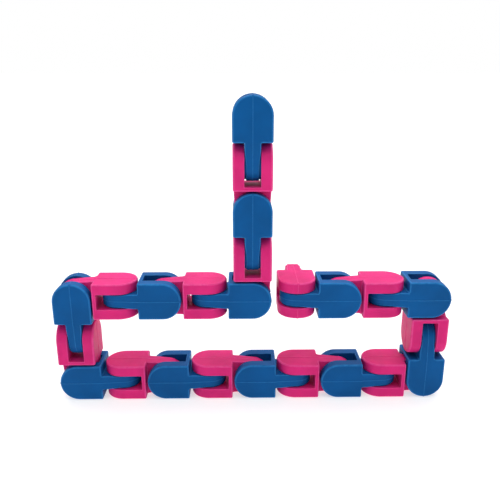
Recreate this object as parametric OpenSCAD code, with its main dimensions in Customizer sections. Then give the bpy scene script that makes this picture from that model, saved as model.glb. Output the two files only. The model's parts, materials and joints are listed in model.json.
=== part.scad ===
// Click-together chain puzzle: equal moulded links in two colours, each one a fork at one end
// and a tongue at the other. The tongue is turned a quarter from the fork, so neighbouring
// joints bend in planes at right angles and the chain folds into three-dimensional figures.
// It stands in one folded figure here: a long bottom row, both ends turned up, an upper row
// folded in from each side, and a tall neck in the middle.
// +Z is up and the links stand in a plane square to Y. Units are millimetres.

/* [Chain] */
// Distance between the two pivots of one link
pitch = 16; // [15.6:0.1:20]
// Side of a link's square section
link_w = 13.6; // [12.8:0.1:14]
// Gap between a link's shoulder and the round ears of the next link
shoulder_gap = 0.6; // [0.4:0.1:0.8]

/* [Fork] */
// Width of the slot between the two ears
slot_w = 5.6; // [5.4:0.1:6]
// Thickness of the web that closes the slot at the shoulder
web_t = 1.4; // [1.2:0.1:2.2]
// Rounding of the fork's long edges and ear rims
edge_r = 0.7; // [0.3:0.1:1.2]

/* [Tongue] */
// Length of the tongue's thick root, before it thins
root_l = 2.3; // [1:0.1:3]
// Thickness of the tongue at its round end
tongue_tip_t = 4.5; // [4:0.1:4.8]
// Gap between the tongue's round end and the web of the next link
tip_gap = 1.1; // [0.4:0.1:1.4]
// Gap between the tongue's side and the web of the next link, bent a quarter turn
side_gap = 0.65; // [0.15:0.05:0.9]

/* [Bearing pads] */
// Radius of the low round pad about each boss, which rubs on the ear
pad_r = 5.5; // [4:0.1:5.8]
// Gap between the ear and a pad, or the tongue's root
pad_gap = 0.05; // [0.03:0.01:0.12]

/* [Snap bosses] */
// Radius of the round boss on each face of the tongue
boss_r = 2.2; // [1.6:0.1:3]
// How far a boss reaches into an ear
boss_reach = 1.1; // [0.6:0.1:1.6]
// Bevel round the end of a boss, which spreads the ears as it snaps in
boss_bevel = 0.3; // [0.1:0.1:0.5]
// Gap round a boss in its socket
boss_gap = 0.08; // [0.05:0.01:0.1]
// How much deeper the socket is than the boss
socket_spare = 0.2; // [0.1:0.1:0.6]

/* [Hidden] */
$fn = 64;
link_count = 24;
// Corners of the folded figure: the link that the joint follows, and the turn in degrees.
// Every other joint is straight.
corners = [[4, -90], [8, 90], [10, 90], [18, 90], [20, 90], [23, 90]];
// Height of the neck and half the length of the bottom row, in pitches from the row's axis
neck_rise = 6;

half_w = link_w / 2;
shoulder_x = pitch - half_w - shoulder_gap;
web_x = shoulder_x - web_t;
tongue_r = web_x - tip_gap;
tongue_root_h = web_x - side_gap;
// How deep the tongue's outline starts inside the solid shoulder
weld = 1;
pad_t = slot_w - 2 * pad_gap;
boss_len = slot_w + 2 * boss_reach;
// The last link's tongue points backwards, so the figure's middle lies behind its plane
plane_y = (half_w - pitch - tongue_r) / 2;

function name(i) = str("link_", i < 10 ? "0" : "", i);

// Turn in degrees at the joint after link i
function turn(i) = let (hits = [for (c = corners) if (c[0] == i) c[1]]) len(hits) > 0 ? hits[0] : 0;

function shift(v) = [[1, 0, 0, v[0]], [0, 1, 0, v[1]], [0, 0, 1, v[2]], [0, 0, 0, 1]];
function spin_x(a) = [[1, 0, 0, 0], [0, cos(a), -sin(a), 0], [0, sin(a), cos(a), 0], [0, 0, 0, 1]];
function spin_y(a) = [[cos(a), 0, sin(a), 0], [0, 1, 0, 0], [-sin(a), 0, cos(a), 0], [0, 0, 0, 1]];
function spin_z(a) = [[cos(a), -sin(a), 0, 0], [sin(a), cos(a), 0, 0], [0, 0, 1, 0], [0, 0, 0, 1]];

// Where link i stands. A link's own frame has its fork pivot at the origin along Y, its tongue
// towards +X, and its tongue pivot one pitch along X, parallel to Z.
function first_frame() = shift([0, plane_y, half_w + neck_rise * pitch]) * spin_y(90);
function step(i) = shift([pitch, 0, 0]) * spin_z(turn(i)) * spin_x(i % 2 == 1 ? 90 : -90);
function frame(i) = i == 1 ? first_frame() : frame(i - 1) * step(i - 1);

// Square of side link_w with round corners
module round_square() {
    inner = link_w - 2 * edge_r;
    square([link_w, inner], center = true);
    square([inner, link_w], center = true);
    for (x = [-1, 1], y = [-1, 1]) {
        translate([x * inner / 2, y * inner / 2]) circle(edge_r);
    }
}

// Solid block of the fork: a square bar with round edges, ending in a half disc about the pivot
module fork_block() {
    rotate([90, 0, 90]) linear_extrude(shoulder_x) round_square();
    rotate([-90, 0, 0]) rotate([0, 0, 90]) rotate_extrude(angle = 180) intersection() {
        round_square();
        translate([0, -link_w]) square([link_w, 2 * link_w]);
    }
}

// Slot between the ears, open at the tips and closed by the web
module slot() {
    translate([-link_w, -slot_w / 2, -link_w]) cube([link_w + web_x, slot_w, 2 * link_w]);
}

// Blind sockets in the ears' inner faces, on the fork pivot
module sockets() {
    depth = slot_w + 2 * (boss_reach + socket_spare);
    rotate([90, 0, 0]) cylinder(h = depth, r = boss_r + boss_gap, center = true);
}

// Flat tongue with a round end about the tongue pivot. It thins towards the end, as moulded.
module tongue() {
    start_x = shoulder_x - weld;
    root_x = shoulder_x + root_l;
    end_x = pitch + tongue_r + weld;
    intersection() {
        translate([0, 0, -link_w]) linear_extrude(2 * link_w) union() {
            polygon([[start_x, -tongue_root_h], [shoulder_x, -tongue_root_h], [pitch, -tongue_r],
                     [pitch, tongue_r], [shoulder_x, tongue_root_h], [start_x, tongue_root_h]]);
            translate([pitch, 0]) circle(tongue_r);
        }
        translate([0, link_w, 0]) rotate([90, 0, 0]) linear_extrude(2 * link_w) polygon([
            [start_x, -pad_t / 2], [root_x, -pad_t / 2],
            [pitch, -tongue_tip_t / 2], [end_x, -tongue_tip_t / 2],
            [end_x, tongue_tip_t / 2], [pitch, tongue_tip_t / 2],
            [root_x, pad_t / 2], [start_x, pad_t / 2]]);
    }
}

// Low round pads on both faces of the tongue, which take up most of the slot's width
module pads() {
    translate([pitch, 0, 0]) cylinder(h = pad_t, r = pad_r, center = true);
}

// Round bosses in the middle of the pads, bevelled at their ends
module bosses() {
    end = boss_len / 2;
    translate([pitch, 0, 0]) rotate_extrude() polygon([
        [0, -end], [boss_r - boss_bevel, -end], [boss_r, boss_bevel - end],
        [boss_r, end - boss_bevel], [boss_r - boss_bevel, end], [0, end]]);
}

// One moulded link in its own frame
module link() {
    difference() {
        fork_block();
        slot();
        sockets();
    }
    tongue();
    pads();
    bosses();
}

// Link i in its place and colour: blue first, then pink, by turns
module placed_link(i) {
    color(i % 2 == 1 ? "#17609F" : "#E23A7B") multmatrix(frame(i)) link();
}

for (i = [1 : link_count]) {
    placed_link(i);
}
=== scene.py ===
"""Looks of the click-together chain puzzle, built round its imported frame.

Every link is one moulded piece: a fork with two round ears, a web and a tongue with two bosses.
The detailed link is built once, in millimetres, in its own frame: the fork pivot is the origin
along Y, the tongue points to +X, and its pivot is one pitch along X, parallel to Z. It is then
copied to where each packed link lies.
"""

import json
import math

import bmesh
import bpy
from mathutils import Matrix, Vector


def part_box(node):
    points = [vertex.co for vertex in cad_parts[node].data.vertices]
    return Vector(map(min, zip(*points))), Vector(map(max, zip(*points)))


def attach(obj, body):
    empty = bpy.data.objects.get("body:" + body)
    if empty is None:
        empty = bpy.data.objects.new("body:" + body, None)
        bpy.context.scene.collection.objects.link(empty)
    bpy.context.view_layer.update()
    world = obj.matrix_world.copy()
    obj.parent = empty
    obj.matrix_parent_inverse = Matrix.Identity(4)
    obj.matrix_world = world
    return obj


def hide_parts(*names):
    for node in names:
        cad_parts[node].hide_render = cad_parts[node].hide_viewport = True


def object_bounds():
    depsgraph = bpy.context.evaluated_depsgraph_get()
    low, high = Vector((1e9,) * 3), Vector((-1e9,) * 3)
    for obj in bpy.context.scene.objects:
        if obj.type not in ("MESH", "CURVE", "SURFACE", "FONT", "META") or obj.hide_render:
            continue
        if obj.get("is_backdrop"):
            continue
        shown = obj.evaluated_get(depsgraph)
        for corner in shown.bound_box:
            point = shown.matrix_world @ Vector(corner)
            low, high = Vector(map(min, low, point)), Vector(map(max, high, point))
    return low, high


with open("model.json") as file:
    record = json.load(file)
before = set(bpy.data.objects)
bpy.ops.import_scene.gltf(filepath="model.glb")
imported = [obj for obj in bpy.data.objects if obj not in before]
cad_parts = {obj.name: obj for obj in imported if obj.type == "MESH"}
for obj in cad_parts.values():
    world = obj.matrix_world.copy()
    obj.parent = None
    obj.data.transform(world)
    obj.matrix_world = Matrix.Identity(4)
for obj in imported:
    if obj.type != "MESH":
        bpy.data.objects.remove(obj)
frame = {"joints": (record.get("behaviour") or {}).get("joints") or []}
cad_low, cad_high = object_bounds()

MM = 0.001
LINK_COUNT = 24
BLUE_SLOT, PINK_SLOT = "blue_plastic", "pink_plastic"

# Lengths in millimetres in the link's own frame: the slot between the ears, the web that closes it
# and the gaps round the tongue
SLOT_W = 5.6
WEB_T = 1.4
SHOULDER_GAP = 0.6
TIP_GAP = 1.1
SIDE_GAP = 0.65

# The tongue's thick root and thinner end, the pads and bosses on it, and the sockets in the ears
ROOT_L = 2.3
TONGUE_TIP_T = 4.5
PAD_R = 5.5
PAD_T = 5.5
BOSS_R = 2.2
BOSS_LEN = 7.8
SOCKET_R = 2.28
SOCKET_DEPTH = 1.3

# How deep the tongue's outline starts inside the solid shoulder
WELD = 1

# How far past the root the pads stand out enough to have an edge to round
PAD_CLEAR = 1.5

# How far beyond the fillet at the tongue's root the shoulder's end face is cut
CUT_SPARE = 0.1

# The mould's parting line: a fine raised line in the plane z = 0
FLASH_H = 0.08
FLASH_W = 0.3

# Radii of the rounded edges
RIM_R = 0.7
SHOULDER_R = 0.55
TONGUE_EDGE_R = 0.4
FILLET_R = 0.35
SLOT_R = 0.2
PAD_EDGE_R = 0.08
BOSS_EDGE_R = 0.3

# How many steps a curve has: a bevel, half a turn of an outline, a quarter turn at the parting
# line's corners, and whole circles
EDGE_STEPS = 4
ARC_STEPS = 40
CORNER_STEPS = 6
SOCKET_STEPS = 48
PAD_STEPS = 80
BOSS_STEPS = 48

# Tolerances in millimetres: points that count as one, points that lie on a cut, and how near an
# edge is to a radius or a plane that it belongs to
SAME = 0.001
ON_CUT = 0.0001
NEAR = 0.02

# Angles in degrees between two faces: up to the first they are one flat face, and above the others
# their edge is rounded, is an outer corner that gets a painted highlight, and shades sharp
FLAT_ANGLE = 0.5
EDGE_ANGLE = 35
CORNER_ANGLE = 8
SHARP_ANGLE = 40

# Rounded strips up to this width get the full painted edge highlight, and the parting line this
# share of it
WIDEST_STRIP = 0.35
FLASH_HIGHLIGHT = 0.65


# ---- where the links are ----

def joint_number(joint):
    """Number of the link that comes before this joint: pivot_03_04 gives 3"""
    return int(joint["name"].split("_")[1])


pivots = {
    joint_number(j): (Vector(j["pos_m"]), Vector(j["axis"]).normalized())
    for j in frame["joints"]
}
pitch = (pivots[2][0] - pivots[1][0]).length


def node_name(number):
    return f"link_{number:02d}"


def box_centre(number):
    low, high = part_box(node_name(number))
    return (low + high) / 2


def nearest_axis(direction):
    """The row axis that a direction is closest to, with its sign"""
    longest = max(range(3), key=lambda k: abs(direction[k]))
    axis = Vector((0, 0, 0))
    axis[longest] = math.copysign(1, direction[longest])
    return axis


def link_matrix(number):
    """Takes a point of the link's own frame, in metres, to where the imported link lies"""
    if number == 1:
        tongue_pivot, tongue_axis = pivots[1]
        along = nearest_axis(tongue_pivot - box_centre(1))
        origin = tongue_pivot - pitch * along
        across = tongue_axis.cross(along)
    else:
        origin, across = pivots[number - 1]
        along = nearest_axis(box_centre(number) - origin)
    third = along.cross(across)
    turn = Matrix((along, across, third)).transposed().to_4x4()
    return Matrix.Translation(origin) @ turn


low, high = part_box(node_name(1))
half_w = (high.x - low.x) / 2 / MM
pitch_mm = pitch / MM
shoulder_x = pitch_mm - half_w - SHOULDER_GAP
web_x = shoulder_x - WEB_T
root_x = shoulder_x + ROOT_L
side_y = half_w - FLASH_H
tongue_root_h = web_x - SIDE_GAP - FLASH_H
tongue_r = web_x - TIP_GAP - FLASH_H


# ---- one link's mesh, in millimetres in the link's own frame ----

def finished(bm, name):
    """Makes an object of a bmesh"""
    bmesh.ops.recalc_face_normals(bm, faces=bm.faces)
    mesh = bpy.data.meshes.new(name)
    bm.to_mesh(mesh)
    bm.free()
    piece = bpy.data.objects.new(name, mesh)
    bpy.context.scene.collection.objects.link(piece)
    return piece


def solid_between(first, second):
    """Closed solid between two loops of points that match one for one"""
    bm = bmesh.new()
    one = [bm.verts.new(p) for p in first]
    two = [bm.verts.new(p) for p in second]
    bm.faces.new(list(reversed(one)))
    bm.faces.new(two)
    for k in range(len(one)):
        after = (k + 1) % len(one)
        bm.faces.new((one[k], one[after], two[after], two[k]))
    return finished(bm, "solid")


def prism_y(outline, reach):
    """Solid of an outline in the X-Z plane that reaches this far to both sides along Y"""
    return solid_between([(x, -reach, z) for x, z in outline], [(x, reach, z) for x, z in outline])


def prism_z(outline, reach):
    """Solid of an outline in the X-Y plane that reaches this far to both sides along Z"""
    return solid_between([(x, y, -reach) for x, y in outline], [(x, y, reach) for x, y in outline])


def circle(radius, centre_x, steps):
    turns = [2 * math.pi * k / steps for k in range(steps)]
    return [(centre_x + radius * math.cos(a), radius * math.sin(a)) for a in turns]


def combine(base, other, operation):
    """Unites, intersects or subtracts two solids, and keeps the result in base"""
    step = base.modifiers.new("combine", "BOOLEAN")
    step.operation = operation
    step.solver = "EXACT"
    step.object = other
    apply_modifiers(base)
    bpy.data.objects.remove(other)


def apply_modifiers(piece):
    bpy.context.view_layer.update()
    depsgraph = bpy.context.evaluated_depsgraph_get()
    made = bpy.data.meshes.new_from_object(piece.evaluated_get(depsgraph))
    piece.modifiers.clear()
    piece.data = made


def ear_outline():
    """An ear seen along Y: square at the shoulder and round about the fork pivot"""
    turns = [math.pi * (0.5 + k / ARC_STEPS) for k in range(ARC_STEPS + 1)]
    tip = [(side_y * math.cos(a), half_w * math.sin(a)) for a in turns]
    return tip + [(shoulder_x, -half_w), (shoulder_x, half_w)]


def tongue_side(spare):
    """One side of the tongue seen along Z, from inside the shoulder to its round end.

    It leaves flush with the ears' faces and draws in before the next link's ears begin.
    spare makes it that much wider all round.
    """
    root = [
        (shoulder_x - WELD, side_y + spare),
        (shoulder_x, side_y + spare),
        (shoulder_x + SHOULDER_GAP, tongue_root_h + spare),
    ]
    turns = [math.pi * (0.5 - k / ARC_STEPS) for k in range(ARC_STEPS // 2 + 1)]
    r = tongue_r + spare
    return root + [(pitch_mm + r * math.cos(a), r * math.sin(a)) for a in turns]


def both_sides(side):
    """Closes an outline that ends on the X axis with its mirror image"""
    return side + [(x, -y) for x, y in reversed(side[:-1])]


def tongue():
    flat = prism_z(both_sides(tongue_side(0)), half_w)
    end_x = pitch_mm + half_w
    root, tip = PAD_T / 2, TONGUE_TIP_T / 2
    upper = [(shoulder_x - WELD, root), (root_x, root), (pitch_mm, tip), (end_x, tip)]
    taper = prism_y(upper + [(x, -z) for x, z in reversed(upper)], 2 * half_w)
    combine(flat, taper, "INTERSECT")
    return flat


def slot_cutter():
    far = 2 * half_w
    outline = [(-far, -SLOT_W / 2), (web_x, -SLOT_W / 2), (web_x, SLOT_W / 2), (-far, SLOT_W / 2)]
    return prism_z(outline, far)


def cut_shoulder(bm, height):
    """Cuts the shoulder's end face at this height, so that its rounding stays even up to there"""
    verts = [v for v in bm.verts if abs(v.co.x - shoulder_x) < SAME]
    edges = [e for e in bm.edges if all(v in verts for v in e.verts)]
    faces = [f for f in bm.faces if all(v in verts for v in f.verts)]
    bmesh.ops.bisect_plane(
        bm, geom=verts + edges + faces, plane_co=(0, 0, height), plane_no=(0, 0, 1), dist=ON_CUT
    )


def sharp_link():
    """The whole link with its edges still sharp"""
    link = prism_y(ear_outline(), side_y)
    combine(link, slot_cutter(), "DIFFERENCE")
    sockets = prism_y(circle(SOCKET_R, 0, SOCKET_STEPS), SLOT_W / 2 + SOCKET_DEPTH)
    combine(link, sockets, "DIFFERENCE")
    combine(link, tongue(), "UNION")
    combine(link, prism_z(circle(PAD_R, pitch_mm, PAD_STEPS), PAD_T / 2), "UNION")
    combine(link, prism_z(circle(BOSS_R, pitch_mm, BOSS_STEPS), BOSS_LEN / 2), "UNION")
    bm = bmesh.new()
    bm.from_mesh(link.data)
    bmesh.ops.remove_doubles(bm, verts=bm.verts, dist=SAME)
    flat = math.radians(FLAT_ANGLE)
    bmesh.ops.dissolve_limit(bm, angle_limit=flat, verts=bm.verts, edges=bm.edges)
    above_fillet = PAD_T / 2 + FILLET_R + CUT_SPARE
    for side in (-1, 1):
        cut_shoulder(bm, side * above_fillet)
    bm.to_mesh(link.data)
    bm.free()
    return link


def edge_radius(edge):
    """How much a sharp edge of the link is rounded, from where it lies"""
    x, y, z = (edge.verts[0].co + edge.verts[1].co) / 2
    from_boss = math.hypot(x - pitch_mm, y)
    if from_boss < BOSS_R + NEAR:
        return BOSS_EDGE_R if abs(z) > BOSS_LEN / 2 - NEAR else SLOT_R
    if abs(from_boss - PAD_R) < NEAR:
        stands_out = abs(z) > PAD_T / 2 - NEAR and x > root_x + PAD_CLEAR
        return PAD_EDGE_R if stands_out else 0
    if abs(x - shoulder_x) < NEAR:
        at_tongue = abs(z) < PAD_T / 2 + NEAR
        return FILLET_R if at_tongue else SHOULDER_R
    if x > shoulder_x:
        return TONGUE_EDGE_R
    return RIM_R if abs(y) > side_y - NEAR else SLOT_R


def round_edges(link):
    """Rounds every sharp edge of the link to its own radius"""
    bm = bmesh.new()
    bm.from_mesh(link.data)
    weight = bm.edges.layers.float.new("bevel_weight_edge")
    for edge in bm.edges:
        if edge.is_manifold and edge.calc_face_angle() > math.radians(EDGE_ANGLE):
            edge[weight] = edge_radius(edge) / RIM_R
    bm.to_mesh(link.data)
    bm.free()
    bevel = link.modifiers.new("round", "BEVEL")
    bevel.limit_method = "WEIGHT"
    bevel.offset_type = "OFFSET"
    bevel.width = RIM_R
    bevel.segments = EDGE_STEPS
    bevel.use_clamp_overlap = False
    apply_modifiers(link)


def flash_outline():
    """The raised parting line's outline in the plane z = 0, with a notch for the fork's slot"""
    slot_y = SLOT_W / 2 + SLOT_R
    inner_y = SLOT_W / 2 + SOCKET_DEPTH + SLOT_R
    inner_x = SOCKET_R + SLOT_R
    web_middle = web_x + WEB_T / 2
    corner = RIM_R + FLASH_H
    turns = [math.pi * (1 - 0.5 * k / CORNER_STEPS) for k in range(CORNER_STEPS + 1)]
    centre_x, centre_y = corner - half_w, half_w - corner
    tip = [(centre_x + corner * math.cos(a), centre_y + corner * math.sin(a)) for a in turns]
    notch = [(web_middle, 0), (web_middle, inner_y), (-inner_x, inner_y), (-inner_x, slot_y)]
    return both_sides(notch + [(-half_w, slot_y)] + tip + tongue_side(FLASH_H))


def face_width(face):
    """Width of a long narrow face"""
    return face.calc_area() / max(e.calc_length() for e in face.edges)


def mark_painted_highlights(bm):
    """Stores each corner's painted highlight: 1 on a rounded edge, less on the parting line, else 0
    """
    edge_highlight = bm.loops.layers.float.new("edge_highlight")
    highlight_bend = math.radians(CORNER_ANGLE)
    highlighted = set()
    for vert in bm.verts:
        outward = any(e.calc_face_angle_signed(0) > highlight_bend for e in vert.link_edges)
        on_face = any(face_width(f) > WIDEST_STRIP for f in vert.link_faces)
        if outward and not on_face:
            highlighted.add(vert.index)
    for face in bm.faces:
        on_flash = all(abs(v.co.z) < FLASH_W / 2 + SAME for v in face.verts)
        for corner in face.loops:
            on_edge = 1.0 if corner.vert.index in highlighted else 0.0
            # Painted highlight: full on rounded edges, a share of it on the parting line
            corner[edge_highlight] = FLASH_HIGHLIGHT if on_flash else on_edge


def shade_link(link):
    """Marks where the link gets painted highlights, and smooths its shading between its sharp edges
    """
    bm = bmesh.new()
    bm.from_mesh(link.data)
    mark_painted_highlights(bm)
    bm.to_mesh(link.data)
    bm.free()
    for polygon in link.data.polygons:
        polygon.use_smooth = True
    link.data.set_sharp_from_angle(angle=math.radians(SHARP_ANGLE))


link_solid = sharp_link()
round_edges(link_solid)
combine(link_solid, prism_z(flash_outline(), FLASH_W / 2), "UNION")
shade_link(link_solid)


# ---- materials ----

# How fine each pattern in the plastic is, in patterns per metre
CLOUD_SCALE = 90
SMUDGE_SCALE = 220
FLOW_SCALE = 260
# Noise that breaks up the painted edge highlight
HIGHLIGHT_SCALE = 700
GRAIN_SCALE = 4200

# Heights of the moulded grain and of the slow waves left by the plastic's flow, in metres
GRAIN_DEPTH = 0.00005
FLOW_DEPTH = 0.0001

# How dark and how bright the clouds are, against the plastic's own colour
CLOUD_DARK = 0.9
CLOUD_BRIGHT = 1.1

# How deep light goes into the plastic, in metres
GLOW_DEPTH = 0.0015

# How strongly the plastic reflects, and how much of that its satin surface keeps
PLASTIC_IOR = 1.45
SPECULAR_LEVEL = 0.1

# Each plastic's colour and that of the painted highlight on its rounded edges, in linear light,
# and how much light it scatters
BLUE = (0.002, 0.100, 0.325)
BLUE_HIGHLIGHT = (0.035, 0.260, 0.640)
PINK = (0.760, 0.025, 0.208)
PINK_HIGHLIGHT = (0.980, 0.120, 0.400)
BLUE_GLOW = 0.1
PINK_GLOW = 0.15


class Nodes:
    """Short ways to add and join a material's nodes"""

    def __init__(self, tree):
        self.tree = tree

    def add(self, kind, **values):
        node = self.tree.nodes.new(kind)
        for name, value in values.items():
            setattr(node, name, value)
        return node

    def join(self, source, target):
        self.tree.links.new(source, target)

    def noise(self, scale, detail=3, rough=0.5, stretch=(1, 1, 1)):
        """Noise over the object's own place in metres; scale is in patterns per metre"""
        place = self.add("ShaderNodeTexCoord")
        mapping = self.add("ShaderNodeMapping")
        mapping.inputs["Scale"].default_value = stretch
        texture = self.add("ShaderNodeTexNoise")
        texture.inputs["Scale"].default_value = scale
        texture.inputs["Detail"].default_value = detail
        texture.inputs["Roughness"].default_value = rough
        self.join(place.outputs["Object"], mapping.inputs["Vector"])
        self.join(mapping.outputs["Vector"], texture.inputs["Vector"])
        return texture.outputs["Fac"]

    def spread(self, value, low, high, to_low, to_high):
        """Maps low..high of a value to to_low..to_high, held at both ends"""
        node = self.add("ShaderNodeMapRange", clamp=True)
        node.inputs["From Min"].default_value = low
        node.inputs["From Max"].default_value = high
        node.inputs["To Min"].default_value = to_low
        node.inputs["To Max"].default_value = to_high
        self.join(value, node.inputs["Value"])
        return node.outputs["Result"]

    def multiply(self, first, second):
        node = self.add("ShaderNodeMath", operation="MULTIPLY")
        self.join(first, node.inputs[0])
        self.join(second, node.inputs[1])
        return node.outputs[0]

    def blend(self, share, first, second):
        """Mixes two colours, each a tuple or another node's colour"""
        node = self.add("ShaderNodeMix", data_type="RGBA")
        self.join(share, node.inputs["Factor"])
        for socket, colour in ((node.inputs["A"], first), (node.inputs["B"], second)):
            if isinstance(colour, tuple):
                socket.default_value = (*colour, 1)
            else:
                self.join(colour, socket)
        return node.outputs["Result"]

    def bump(self, height, strength, distance, after=None):
        node = self.add("ShaderNodeBump")
        node.inputs["Strength"].default_value = strength
        node.inputs["Distance"].default_value = distance
        self.join(height, node.inputs["Height"])
        if after is not None:
            self.join(after, node.inputs["Normal"])
        return node.outputs["Normal"]


def shade(colour, factor):
    """A colour made darker or brighter"""
    return tuple(c * factor for c in colour)


def moulded_plastic(name, colour, highlight_colour, glow):
    """Satin moulded plastic: cloudy colour, painted edge highlights, fine spark-eroded grain"""
    material = bpy.data.materials.new(name)
    material.use_nodes = True
    nodes = Nodes(material.node_tree)
    shader = material.node_tree.nodes["Principled BSDF"]

    cloud = nodes.spread(nodes.noise(CLOUD_SCALE, detail=4), 0.35, 0.65, 0, 1)
    body = nodes.blend(cloud, shade(colour, CLOUD_DARK), shade(colour, CLOUD_BRIGHT))
    # Painted highlight: a paler colour on rounded edges and the parting line, broken up by noise
    edge_highlight = nodes.add("ShaderNodeAttribute", attribute_name="edge_highlight")
    highlight_noise = nodes.noise(HIGHLIGHT_SCALE, detail=5, rough=0.6)
    highlighted = nodes.spread(highlight_noise, 0.3, 0.7, 0.35, 0.75)
    highlight_share = nodes.multiply(edge_highlight.outputs["Fac"], highlighted)
    nodes.join(nodes.blend(highlight_share, body, highlight_colour), shader.inputs["Base Color"])

    smudge_noise = nodes.noise(SMUDGE_SCALE, detail=6, rough=0.65)
    smudge = nodes.spread(smudge_noise, 0.3, 0.7, 0.36, 0.5)
    nodes.join(smudge, shader.inputs["Roughness"])

    grain = nodes.bump(nodes.noise(GRAIN_SCALE, detail=3), 0.5, GRAIN_DEPTH)
    flow_noise = nodes.noise(FLOW_SCALE, detail=2, stretch=(1, 1, 0.35))
    flow = nodes.bump(flow_noise, 0.3, FLOW_DEPTH, after=grain)
    nodes.join(flow, shader.inputs["Normal"])

    shader.inputs["IOR"].default_value = PLASTIC_IOR
    shader.inputs["Specular IOR Level"].default_value = SPECULAR_LEVEL
    shader.inputs["Subsurface Weight"].default_value = glow
    shader.inputs["Subsurface Radius"].default_value = (1.0, 0.2, 0.4)
    shader.inputs["Subsurface Scale"].default_value = GLOW_DEPTH
    return material


plastics = {
    BLUE_SLOT: moulded_plastic("blue_moulded_plastic", BLUE, BLUE_HIGHLIGHT, BLUE_GLOW),
    PINK_SLOT: moulded_plastic("pink_moulded_plastic", PINK, PINK_HIGHLIGHT, PINK_GLOW),
}


# ---- the links ----

def place_link(number):
    """One link's piece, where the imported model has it"""
    slot = BLUE_SLOT if number % 2 else PINK_SLOT
    mesh = link_solid.data.copy()
    mesh.name = f"{node_name(number)}_moulding"
    mesh.transform(link_matrix(number) @ Matrix.Scale(MM, 4))
    mesh.materials.append(plastics[slot])
    piece = bpy.data.objects.new(f"{node_name(number)}_moulding", mesh)
    bpy.context.scene.collection.objects.link(piece)
    weigh = piece.modifiers.new("even_shading", "WEIGHTED_NORMAL")
    weigh.keep_sharp = True
    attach(piece, node_name(number))
    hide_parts(node_name(number))


for number in range(1, LINK_COUNT + 1):
    place_link(number)
bpy.data.objects.remove(link_solid)


# ---- floor, light and camera ----

# Half the floor's side, in metres, its grey, and how much it glows to stay white under the chain
FLOOR_REACH = 20
FLOOR_GREY = 0.55
FLOOR_GLOW = 0.6

# The camera's place in pitches from the neck's foot, its two turns in degrees, and how many
# times longer its lens is than its sensor is wide
CAMERA_LEFT = 0.246
CAMERA_FRONT = 12.3
CAMERA_HEIGHT = 7.3
CAMERA_DOWN = 17.2
CAMERA_RIGHT = 0.9
LENS_RATIO = 1.16
SENSOR_W = 36


def make_floor():
    """A wide pale floor under the whole figure"""
    far = FLOOR_REACH
    corners = [(-far, -far), (far, -far), (far, far), (-far, far)]
    mesh = bpy.data.meshes.new("floor")
    mesh.from_pydata([(x, y, cad_low.z) for x, y in corners], [], [(0, 1, 2, 3)])
    floor = bpy.data.objects.new("floor", mesh)
    bpy.context.scene.collection.objects.link(floor)
    material = bpy.data.materials.new("pale_floor")
    material.use_nodes = True
    shader = material.node_tree.nodes["Principled BSDF"]
    shader.inputs["Base Color"].default_value = (FLOOR_GREY, FLOOR_GREY, FLOOR_GREY, 1)
    shader.inputs["Emission Color"].default_value = (1, 1, 1, 1)
    shader.inputs["Emission Strength"].default_value = FLOOR_GLOW
    shader.inputs["Roughness"].default_value = 0.9
    shader.inputs["Specular IOR Level"].default_value = 0.1
    mesh.materials.append(material)
    floor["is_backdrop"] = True


def make_world():
    """A white room: white to the camera, and soft light that is strongest from the backdrop"""
    world = bpy.data.worlds.new("studio")
    bpy.context.scene.world = world
    world.use_nodes = True
    nodes = Nodes(world.node_tree)
    light = world.node_tree.nodes["Background"]
    light.inputs["Color"].default_value = (1, 1, 1, 1)
    direction = nodes.add("ShaderNodeTexCoord")
    parts = nodes.add("ShaderNodeSeparateXYZ")
    nodes.join(direction.outputs["Generated"], parts.inputs["Vector"])
    behind = nodes.spread(parts.outputs["Y"], -0.2, 0.8, 0.15, 1.35)
    above = nodes.spread(parts.outputs["Z"], 0.17, 0.42, 0.12, 1)
    nodes.join(nodes.multiply(behind, above), light.inputs["Strength"])
    white = nodes.add("ShaderNodeBackground")
    white.inputs["Color"].default_value = (1, 1, 1, 1)
    white.inputs["Strength"].default_value = 1.0
    seen = nodes.add("ShaderNodeLightPath")
    mix = nodes.add("ShaderNodeMixShader")
    nodes.join(seen.outputs["Is Camera Ray"], mix.inputs["Fac"])
    nodes.join(light.outputs["Background"], mix.inputs[1])
    nodes.join(white.outputs["Background"], mix.inputs[2])
    nodes.join(mix.outputs["Shader"], world.node_tree.nodes["World Output"].inputs["Surface"])


def soft_sun(name, strength, spread, direction):
    """Even light that comes from this direction, as from a softbox this many degrees wide"""
    light = bpy.data.lights.new(name, "SUN")
    light.energy = strength
    light.angle = math.radians(spread)
    lamp = bpy.data.objects.new(name, light)
    lamp.rotation_mode = "QUATERNION"
    lamp.rotation_quaternion = Vector(direction).to_track_quat("Z", "Y")
    bpy.context.scene.collection.objects.link(lamp)


def make_camera():
    """The photographer's place: in front and above, a little left of the neck"""
    figure_y = pivots[1][0].y
    data = bpy.data.cameras.new("camera")
    data.sensor_width = SENSOR_W
    data.lens = SENSOR_W * LENS_RATIO
    data.clip_start = 0.01
    data.clip_end = 100
    camera = bpy.data.objects.new("camera", data)
    camera.location = (
        -CAMERA_LEFT * pitch,
        figure_y - CAMERA_FRONT * pitch,
        cad_low.z + CAMERA_HEIGHT * pitch,
    )
    tilt = math.radians(90 - CAMERA_DOWN)
    camera.rotation_euler = (tilt, 0, -math.radians(CAMERA_RIGHT))
    bpy.context.scene.collection.objects.link(camera)
    bpy.context.scene.camera = camera


make_floor()
make_world()
soft_sun("top_softbox", 2.45, 80, (0.05, 0.1, 1))
soft_sun("front_fill", 0.45, 90, (-0.2, -1, 0.3))
make_camera()
bpy.context.scene.view_settings.view_transform = "Standard"

low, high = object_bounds()
